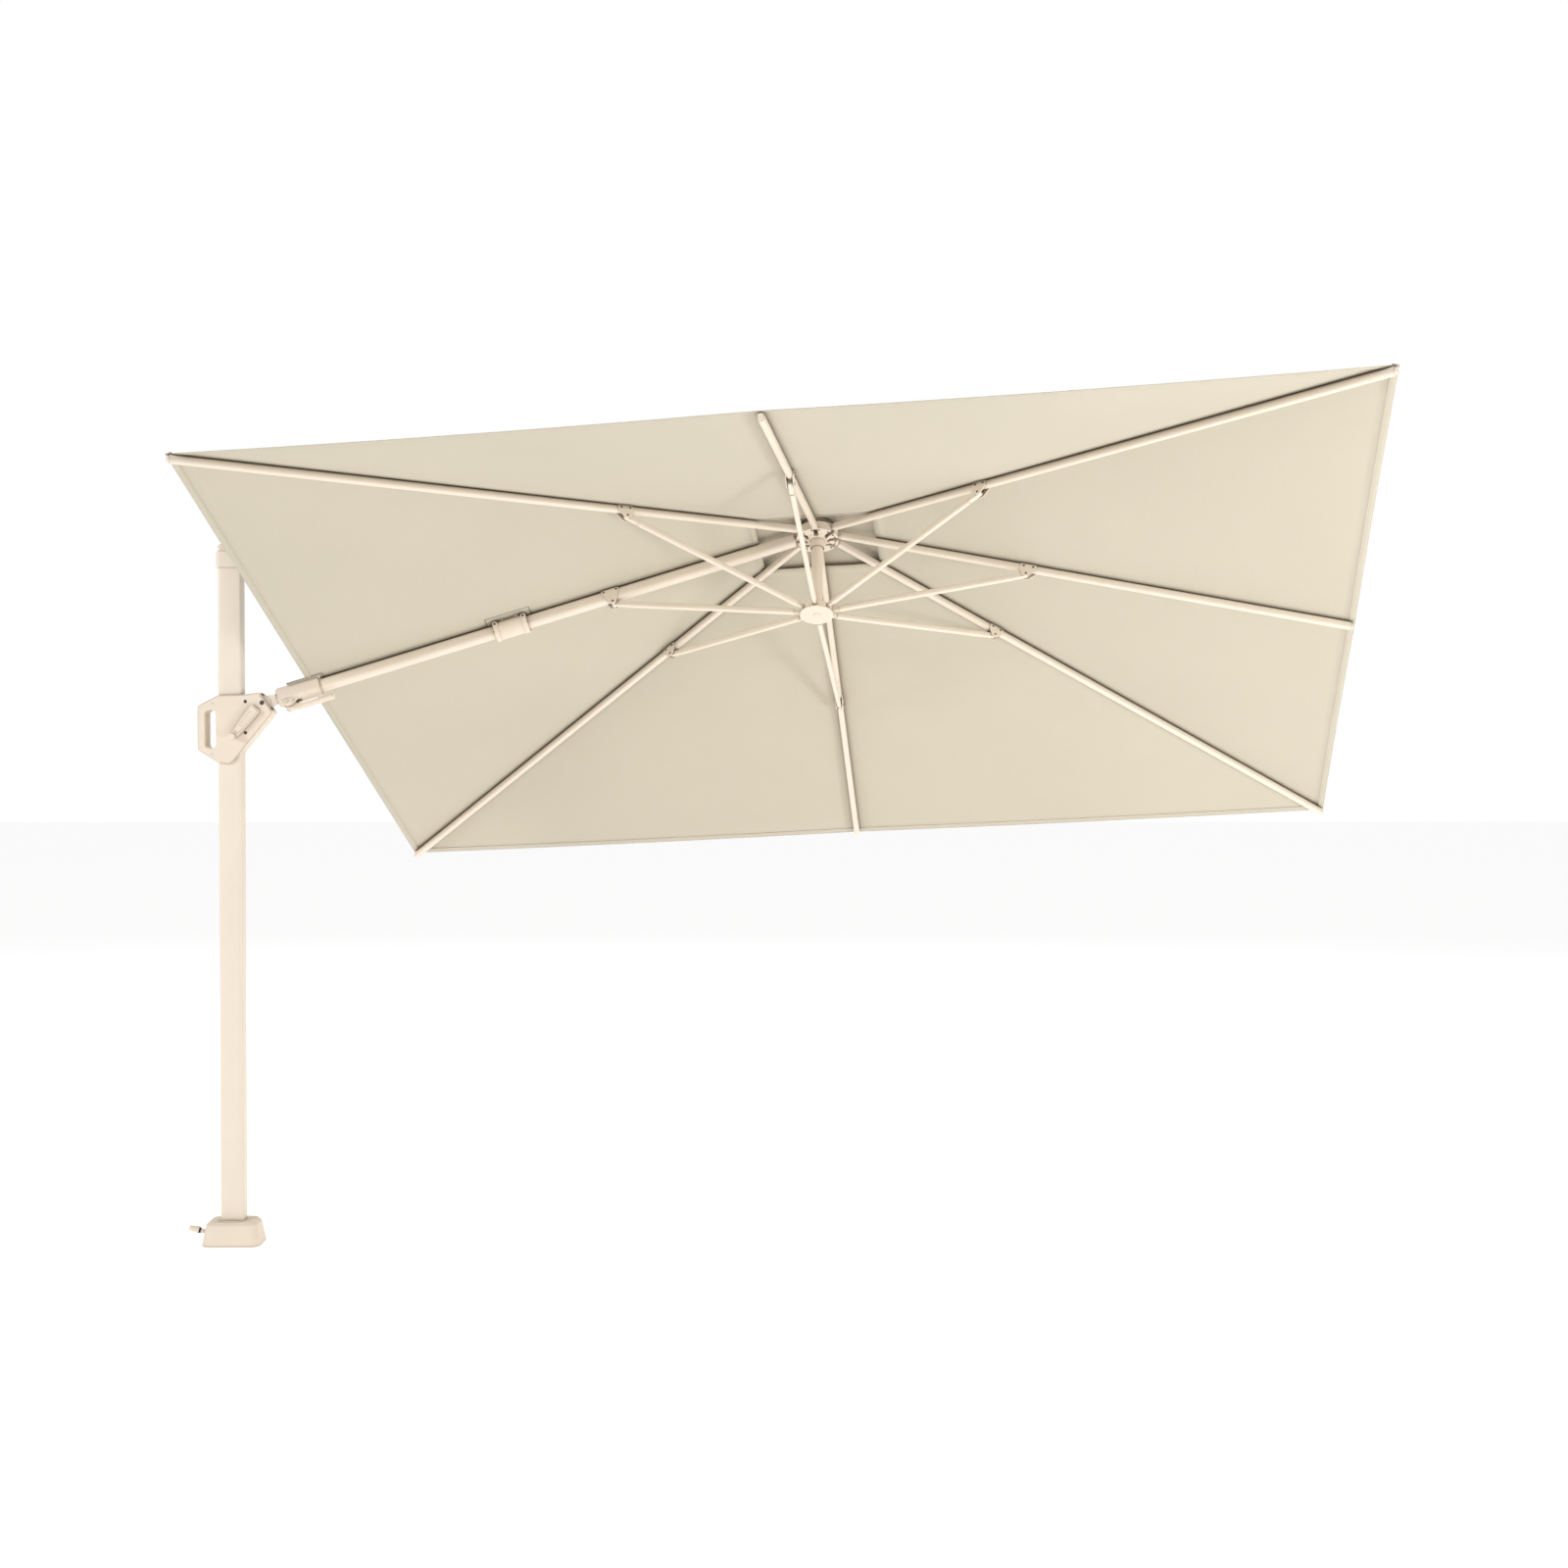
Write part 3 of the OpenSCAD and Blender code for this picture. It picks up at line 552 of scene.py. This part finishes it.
def cloth_point(i, share, across, lift):
    """The cloth between rib i and the next, at a share of the way to the rim and across."""
    apex = from_canopy([0, 0, APEX_LIFT + lift])
    a, b = rim_point(i, lift), rim_point(i + 1, lift)
    hump = 4 * across * (1 - across)
    pull = 1 - SCALLOP * hump * share ** SCALLOP_POWER
    flat = apex + share * pull * ((1 - across) * a + across * b - apex)
    return flat - UP * SAG * hump * share * (SAG_REACH - share) / SAG_PEAK


def seam_squash(obj, i):
    """Half a gore gets a mesh of its own. The fold direction between its two ribs is worked out,
    but nothing uses it.
    """
    a, b = rim_point(i), rim_point(i + 1)
    apex = from_canopy([0, 0, APEX_LIFT])
    place_a, place_b = FOLDED[RIM[i][0]], FOLDED[RIM[(i + 1) % 8][0]]
    along_a, along_b = unit(a - apex), unit(b - apex)
    face_a, face_b = turned(place_a, along_a), turned(place_b, along_b)
    loose = unit(np.cross(face_a, face_b))
    if loose @ UP > 0:
        loose = -loose
    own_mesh(obj)


def hem_rows(shares, edge_in):
    """Rows as (share, metres in from the edge, drop). The rim's hem is folded under.

    The edge at the crown gets a hem too if edge_in is set.
    """
    crown, rim = shares[0], shares[-1]
    rows = [(share, 0.0, 0.0) for share in shares]
    turn = HEM_DROP * HEM_TURN
    rows += [(rim, 0.0, turn), (rim, HEM * HEM_MIDDLE, HEM_DROP), (rim, HEM, HEM_DROP)]
    if edge_in:
        rows = [(crown, -HEM * CROWN_HEM, HEM_DROP), (crown, 0.0, turn)] + rows
    return rows


def half_gore(name, i, first, start, end, lift, edge_in):
    """One half of the cloth between rib i and the next one."""
    body = RIM[(i if first else i + 1) % 8][0]
    shares = [start + (end - start) * k / ROWS for k in range(ROWS + 1)]
    a, b = rim_point(i), rim_point(i + 1)
    hem_along = unit(b - a)
    apex = from_canopy([0, 0, APEX_LIFT])
    inward = unit((apex - a) - ((apex - a) @ hem_along) * hem_along)
    rows = hem_rows(shares, edge_in)
    origin = apex + end * (a - apex)
    points, uvs = [], []
    rim_length = np.linalg.norm(b - a)
    for share, inset, drop in rows:
        begin = 0.0 if first else 0.5
        steps = [(0.5 * k / COLUMNS + begin, 0.0) for k in range(COLUMNS + 1)]
        if not first:
            lap = SEAM_LAP + CROWN_LAP * (1 - share) ** CROWN_LAP_POWER
            lap = min(MOST_LAP, lap / (share * rim_length))
            steps = [(0.5 - lap, LAP_LIFT)] + steps
        for across, rise in steps:
            p = cloth_point(i, share, across, lift) + inward * inset + UP * (rise - drop)
            points.append(p)
            uvs.append(((p - origin) @ hem_along, (p - origin) @ inward))
    width = len(steps)
    faces = []
    for r in range(len(rows) - 1):
        for k in range(width - 1):
            corner = r * width + k
            faces.append((corner, corner + 1, corner + width + 1, corner + width))
    return new_object(name, points, faces, uvs, CLOTH, body)


# The slot over the arm that the saddle comes through
HOLE_HALF_LENGTH = 0.0635
HOLE_HALF_WIDTH = 0.0300
# The notch in the rim that the tilt socket comes through
NOTCH_AT = 0.150
NOTCH_HALF_LENGTH = 0.0565
NOTCH_HALF_WIDTH = 0.0262
# Rings of half length, half width and height above the cloth
PATCH = [
    (0.0605, 0.0272, 0.0010),
    (0.0605, 0.0272, -0.0020),
    (0.0764, 0.0544, -0.0026),
    (0.0786, 0.0566, -0.0026),
    (0.0790, 0.0570, 0.0004),
]
BOOT = [
    (0.0290, 0.0345, 0.0140),
    (0.0640, 0.0400, 0.0138),
    (0.0680, 0.0440, 0.0100),
    (0.0720, 0.0480, 0.0024),
    (0.0790, 0.0560, 0.0020),
    (0.0794, 0.0564, 0.0004),
]
NOTCH_BINDING = [
    (0.0560, 0.0257, 0.0006),
    (0.0560, 0.0257, -0.0016),
    (0.0680, 0.0370, -0.0020),
    (0.0686, 0.0376, -0.0020),
    (0.0688, 0.0378, 0.0002),
]
PATCH_STITCH_IN = 0.0045
CUT_TOLERANCE = 1e-6
SQUARE = ((-1, -1), (1, -1), (1, 1), (-1, 1))


def hole_frame(at):
    """A place on the cloth over the arm, the way along the arm, and the way across it."""
    along = ARM_TURN @ np.array([1.0, 0, 0])
    side = ARM_TURN @ np.array([0, 1.0, 0])
    centre = ARM_PIVOT + ARM_TURN @ np.array([at, 0, ARM_TO_RIB_LINE + CLOTH_GAP])
    return centre, along, side


def cut_hole(obj, at, half_length, half_width):
    """Cuts a slot out of the cloth over the arm, centred at a distance along it."""
    centre, along, side = hole_frame(at)
    mesh = bmesh.new()
    mesh.from_mesh(obj.data)
    for normal, half in ((along, half_length), (side, half_width)):
        for sign in (-1, 1):
            edge = centre + normal * half * sign
            geometry = mesh.verts[:] + mesh.edges[:] + mesh.faces[:]
            bmesh.ops.bisect_plane(mesh, geom=geometry, dist=CUT_TOLERANCE,
                                   plane_co=Vector(edge), plane_no=Vector(normal))
    inside = []
    for face in mesh.faces:
        offset = np.array(face.calc_center_median()) - centre
        if abs(offset @ along) < half_length and abs(offset @ side) < half_width:
            inside.append(face)
    bmesh.ops.delete(mesh, geom=inside, context="FACES")
    mesh.to_mesh(obj.data)
    mesh.free()


def strip_round(name, at, rings, open_end, shaded_from):
    """Cloth strip round a slot, through rings of (half length, half width, height).

    It stays open at the end toward the mast if open_end is set. The strips between rings from the
    given number on are the edge seams, darkened as painted shade.
    """
    centre, along, side = hole_frame(at)
    normal = np.cross(along, side)
    outer = rings[-1][1]
    points, uvs = [], []
    for half_length, half_width, height in rings:
        for u, v in SQUARE:
            reach = rings[0][0] if open_end and u < 0 else half_length
            points.append(centre + along * u * reach + side * v * half_width + normal * height)
            uvs.append((u * reach, STITCH_FROM_EDGE - PATCH_STITCH_IN + outer - half_width))
    sides = 3 if open_end else 4
    faces = ring_faces(0, len(rings) - 1, len(SQUARE), sides)
    obj = new_object(name, points, faces, uvs, BINDING, "arm")
    obj.data.materials.append(SEAM_SHADE)
    for polygon in obj.data.polygons:
        polygon.use_smooth = False
        # The edge strips get the darkened cloth, painted shade
        polygon.material_index = int(polygon.index >= shaded_from * sides)
    return obj


def slot_pieces():
    """The patch under the saddle's slot, the boot over it, and the binding of the rim's notch."""
    patch = strip_round("slot_patch", SADDLE_AT, PATCH, False, 2)
    boot = strip_round("slot_boot", SADDLE_AT, BOOT, False, 3)
    notch = strip_round("notch_binding", NOTCH_AT, NOTCH_BINDING, True, 2)
    return [patch, boot, notch]


def short_name(i, first):
    """Names a half gore by its rib and the side it lies on."""
    rib = RIM[(i if first else i + 1) % 8][0].replace("rib_", "")
    return f"{rib}_{'after' if first else 'before'}"


def canopy_cloth():
    """The canopy: one sheet in sixteen halves, each riding on its own rib."""
    bindings = slot_pieces()
    for i in range(8):
        for first in (True, False):
            name = "cloth_" + short_name(i, first)
            obj = half_gore(name, i, first, OPENING_SHARE, 1.0, 0.0, True)
            over_arm = RIM[(i if first else i + 1) % 8][0] == "arm"
            if over_arm:
                cut_hole(obj, SADDLE_AT, HOLE_HALF_LENGTH, HOLE_HALF_WIDTH)
                cut_hole(obj, NOTCH_AT, NOTCH_HALF_LENGTH, NOTCH_HALF_WIDTH)
            seam_squash(obj, i)
            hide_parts("canopy")


def vent_cloth():
    """The vent's own cover, lifted clear of the canopy so that wind gets out under it."""
    for i in range(8):
        for first in (True, False):
            name = "vent_" + short_name(i, first)
            obj = half_gore(name, i, first, CAP_SHARE, VENT_SHARE, VENT_LIFT, False)
            seam_squash(obj, i)
            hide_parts("vent")


CAP_RADIUS = 0.055
CAP_HEIGHT = 0.016
CAP_RINGS = 6
CAP_STEPS = 40


def crown_cap():
    """Low moulded cap over the point where the vent's panels meet."""
    base = APEX_LIFT + VENT_LIFT - CAP_RADIUS * math.tan(SIDE_SLOPE)
    points, uvs = [], []
    for ring in range(CAP_RINGS + 1):
        angle = math.pi / 2 * ring / CAP_RINGS
        radius = CAP_RADIUS * math.cos(angle)
        height = base + (CAP_RADIUS * math.tan(SIDE_SLOPE) + CAP_HEIGHT) * math.sin(angle)
        for k in range(CAP_STEPS):
            turn = math.tau * k / CAP_STEPS
            spot = [radius * math.cos(turn), radius * math.sin(turn), height]
            points.append(from_canopy(spot))
            uvs.append((k / CAP_STEPS, ring / CAP_RINGS))
    faces = ring_faces(0, CAP_RINGS, CAP_STEPS) + [tuple(range(CAP_STEPS))]
    obj = new_object("crown_cap", points, faces, uvs, CASING, "hub")


# ---- Small fittings ----
HEAD_STEPS = 20
# Any direction that no screw points in
SCREW_ASIDE = [0.31, 0.27, 0.91]
# Rings of a head as (share of the radius, share of the height)
SCREW_PROFILE = [
    (1.0, 0.0),
    (1.0, 0.45),
    (0.86, 0.85),
    (0.62, 1.0),
    (0.5, 0.98),
    (0.46, 0.35),
    (0.0, 0.3),
]


def screw_heads(name, places, radius, height, material, body, slot):
    """Domed screw heads with a round recess. places holds (centre, outward) pairs."""
    points, uvs, faces = [], [], []
    for centre, outward in places:
        first = unit(np.cross(outward, SCREW_ASIDE))
        second = np.cross(outward, first)
        faces += ring_faces(len(points), len(SCREW_PROFILE) - 1, HEAD_STEPS)
        for share, rise in SCREW_PROFILE:
            for k in range(HEAD_STEPS):
                turn = math.tau * k / HEAD_STEPS
                reach = radius * share
                points.append(centre + (first * math.cos(turn) + second * math.sin(turn)) * reach
                              + outward * height * rise)
                uvs.append((k / HEAD_STEPS, share))
    obj = new_object(name, points, faces, uvs, material, body)


HUB_UNDERSIDE = -0.038
HUB_SCREW_AT = 0.061
HUB_SCREW_ASIDE = 0.0125
# Radius and height
HUB_SCREW = (0.0034, 0.0012)


def hub_screws():
    """A pair of small screws beside each slot of the hub."""
    places = []
    for _, x, y in RIM:
        out = unit(np.array([x, y, 0.0]))
        aside = np.array([-out[1], out[0], 0.0])
        for sign in (-1, 1):
            spot = out * HUB_SCREW_AT + aside * sign * HUB_SCREW_ASIDE
            places.append((from_canopy(spot + np.array([0, 0, HUB_UNDERSIDE])), -UP))
    screw_heads("hub_screws", places, *HUB_SCREW, RIVET, "hub", "dark_screws")


NECK_TURN = turn_about("Y", -ARM_RISE)
# From the saddle's middle to each end flange, and from the arm's line to the bosses
FLANGE_AT = 0.050
FLANGE_RADIUS = 0.0355
CLAMP_ANGLES = (math.radians(-45), math.radians(45))
# Radius and height
CLAMP_BOSS = (0.0082, 0.0060)
CLAMP_SCREW = (0.0052, 0.0014)
CLAMP_SCREW_OUT = 0.0052


def saddle_clamps():
    """A boss each side of the saddle's two end flanges, with a dark screw in it."""
    bosses, screws = [], []
    for x in (SADDLE_AT - FLANGE_AT, SADDLE_AT + FLANGE_AT):
        for angle in CLAMP_ANGLES:
            out = np.array([0, math.sin(angle), math.cos(angle)])
            spot = ARM_PIVOT + NECK_TURN @ (np.array([x, 0, 0]) + out * FLANGE_RADIUS)
            facing = np.array([0, math.copysign(1, angle), 0])
            bosses.append((spot, facing))
            screws.append((spot + facing * CLAMP_SCREW_OUT, facing))
    screw_heads("saddle_bosses", bosses, *CLAMP_BOSS, CASING, "neck", "moulded_casing")
    screw_heads("saddle_clamp_screws", screws, *CLAMP_SCREW, RIVET, "neck", "dark_screws")


PEDAL_AT = np.array([-0.085, -0.020, 0.042])
PEDAL_TURN = turn_about("Y", math.radians(12))
BAND_STEPS = 28
# Rings of the band as (place along the rod, reach)
BAND_PROFILE = [
    (-0.0300, 0.0066),
    (-0.0300, 0.0080),
    (-0.0290, 0.0088),
    (-0.0250, 0.0088),
    (-0.0240, 0.0080),
    (-0.0240, 0.0066),
]
# The rod's section is a rounded square, a superellipse of this power
ROD_SQUARENESS = 4
ROD_ROOT = 1 / ROD_SQUARENESS


def pedal_band():
    """Rubber band round the pedal's rod, where the grip begins."""
    points, uvs = [], []
    for x, reach in BAND_PROFILE:
        for k in range(BAND_STEPS):
            turn = math.tau * k / BAND_STEPS
            across, up = math.cos(turn), math.sin(turn)
            soft = (abs(across) ** ROD_SQUARENESS + abs(up) ** ROD_SQUARENESS) ** -ROD_ROOT
            around = [across * reach * soft, up * reach * soft]
            points.append(PEDAL_AT + PEDAL_TURN @ np.array([x, *around]))
            uvs.append((k / BAND_STEPS, x))
    faces = ring_faces(0, len(BAND_PROFILE) - 1, BAND_STEPS)
    obj = new_object("pedal_band", points, faces, uvs, RUBBER, "pedal")


# ---- Stage ----
FLOOR_COLOR = (0.93, 0.93, 0.925)
FLOOR_GLOW = 0.45
FLOOR_SIZE = 80
FLOOR_AT = (1.5, 0, 0)
# The sky's strength as the camera sees it, and as it lights the parasol
SKY_SEEN = 1.0
SKY_LIGHT = 0.54
# Name, place, target, width of the square in metres, watts
LIGHTS = [
    ("key", (-7.0, -6.0, 4.5), (2.0, 0, 1.9), 2.4, 290),
    ("low_fill", (6.0, -3.2, 0.4), (2.6, 0, 2.2), 1.2, 92),
    ("back", (2.0, 7.5, 7.0), (1.8, 0, 1.9), 3.0, 190),
]


def studio():
    """Pale floor, white surroundings and soft lights."""
    bpy.ops.mesh.primitive_plane_add(size=FLOOR_SIZE, location=FLOOR_AT)
    floor = bpy.context.object
    floor.name = "floor"
    material, _, _, shader = new_material("floor", FLOOR_COLOR, roughness=0.9)
    shader.inputs["Emission Color"].default_value = (1, 1, 1, 1)
    shader.inputs["Emission Strength"].default_value = FLOOR_GLOW
    floor.data.materials.append(material)
    world = bpy.data.worlds.new("studio")
    bpy.context.scene.world = world
    world.use_nodes = True
    nodes, links = world.node_tree.nodes, world.node_tree.links
    background = nodes["Background"]
    background.inputs["Color"].default_value = (1, 1, 1, 1)
    path = nodes.new("ShaderNodeLightPath")
    strength = nodes.new("ShaderNodeMapRange")
    strength.inputs["To Min"].default_value = SKY_LIGHT
    strength.inputs["To Max"].default_value = SKY_SEEN
    links.new(path.outputs["Is Camera Ray"], strength.inputs["Value"])
    links.new(strength.outputs["Result"], background.inputs["Strength"])
    for light in LIGHTS:
        soft_light(*light)


def soft_light(name, place, target, size, power):
    """A square area light aimed at target."""
    data = bpy.data.lights.new(name, "AREA")
    data.shape = "SQUARE"
    data.size = size
    data.energy = power
    light = bpy.data.objects.new(name, data)
    bpy.context.scene.collection.objects.link(light)
    light.location = place
    light.visible_camera = False
    aim = Vector(target) - Vector(place)
    light.rotation_euler = aim.to_track_quat("-Z", "Y").to_euler()


CAMERA_AT = (1.7401, -7.5352, 1.7128)
CAMERA_YAW = -0.0194
CAMERA_PITCH = -0.0185
LENS = 50.386
SENSOR = 36
FAR_CLIP = 200


def camera():
    """The photograph's viewpoint, solved from the canopy's corners and the mast."""
    data = bpy.data.cameras.new("camera")
    data.lens = LENS
    data.sensor_width = SENSOR
    obj = bpy.data.objects.new("camera", data)
    bpy.context.scene.collection.objects.link(obj)
    obj.location = CAMERA_AT
    obj.rotation_euler = (math.pi / 2 + CAMERA_PITCH, 0, CAMERA_YAW)
    data.clip_end = FAR_CLIP
    bpy.context.scene.camera = obj


dress_frame()
canopy_cloth()
vent_cloth()
crown_cap()
hub_screws()
saddle_clamps()
pedal_band()
studio()
camera()
bpy.context.scene.view_settings.view_transform = "Standard"
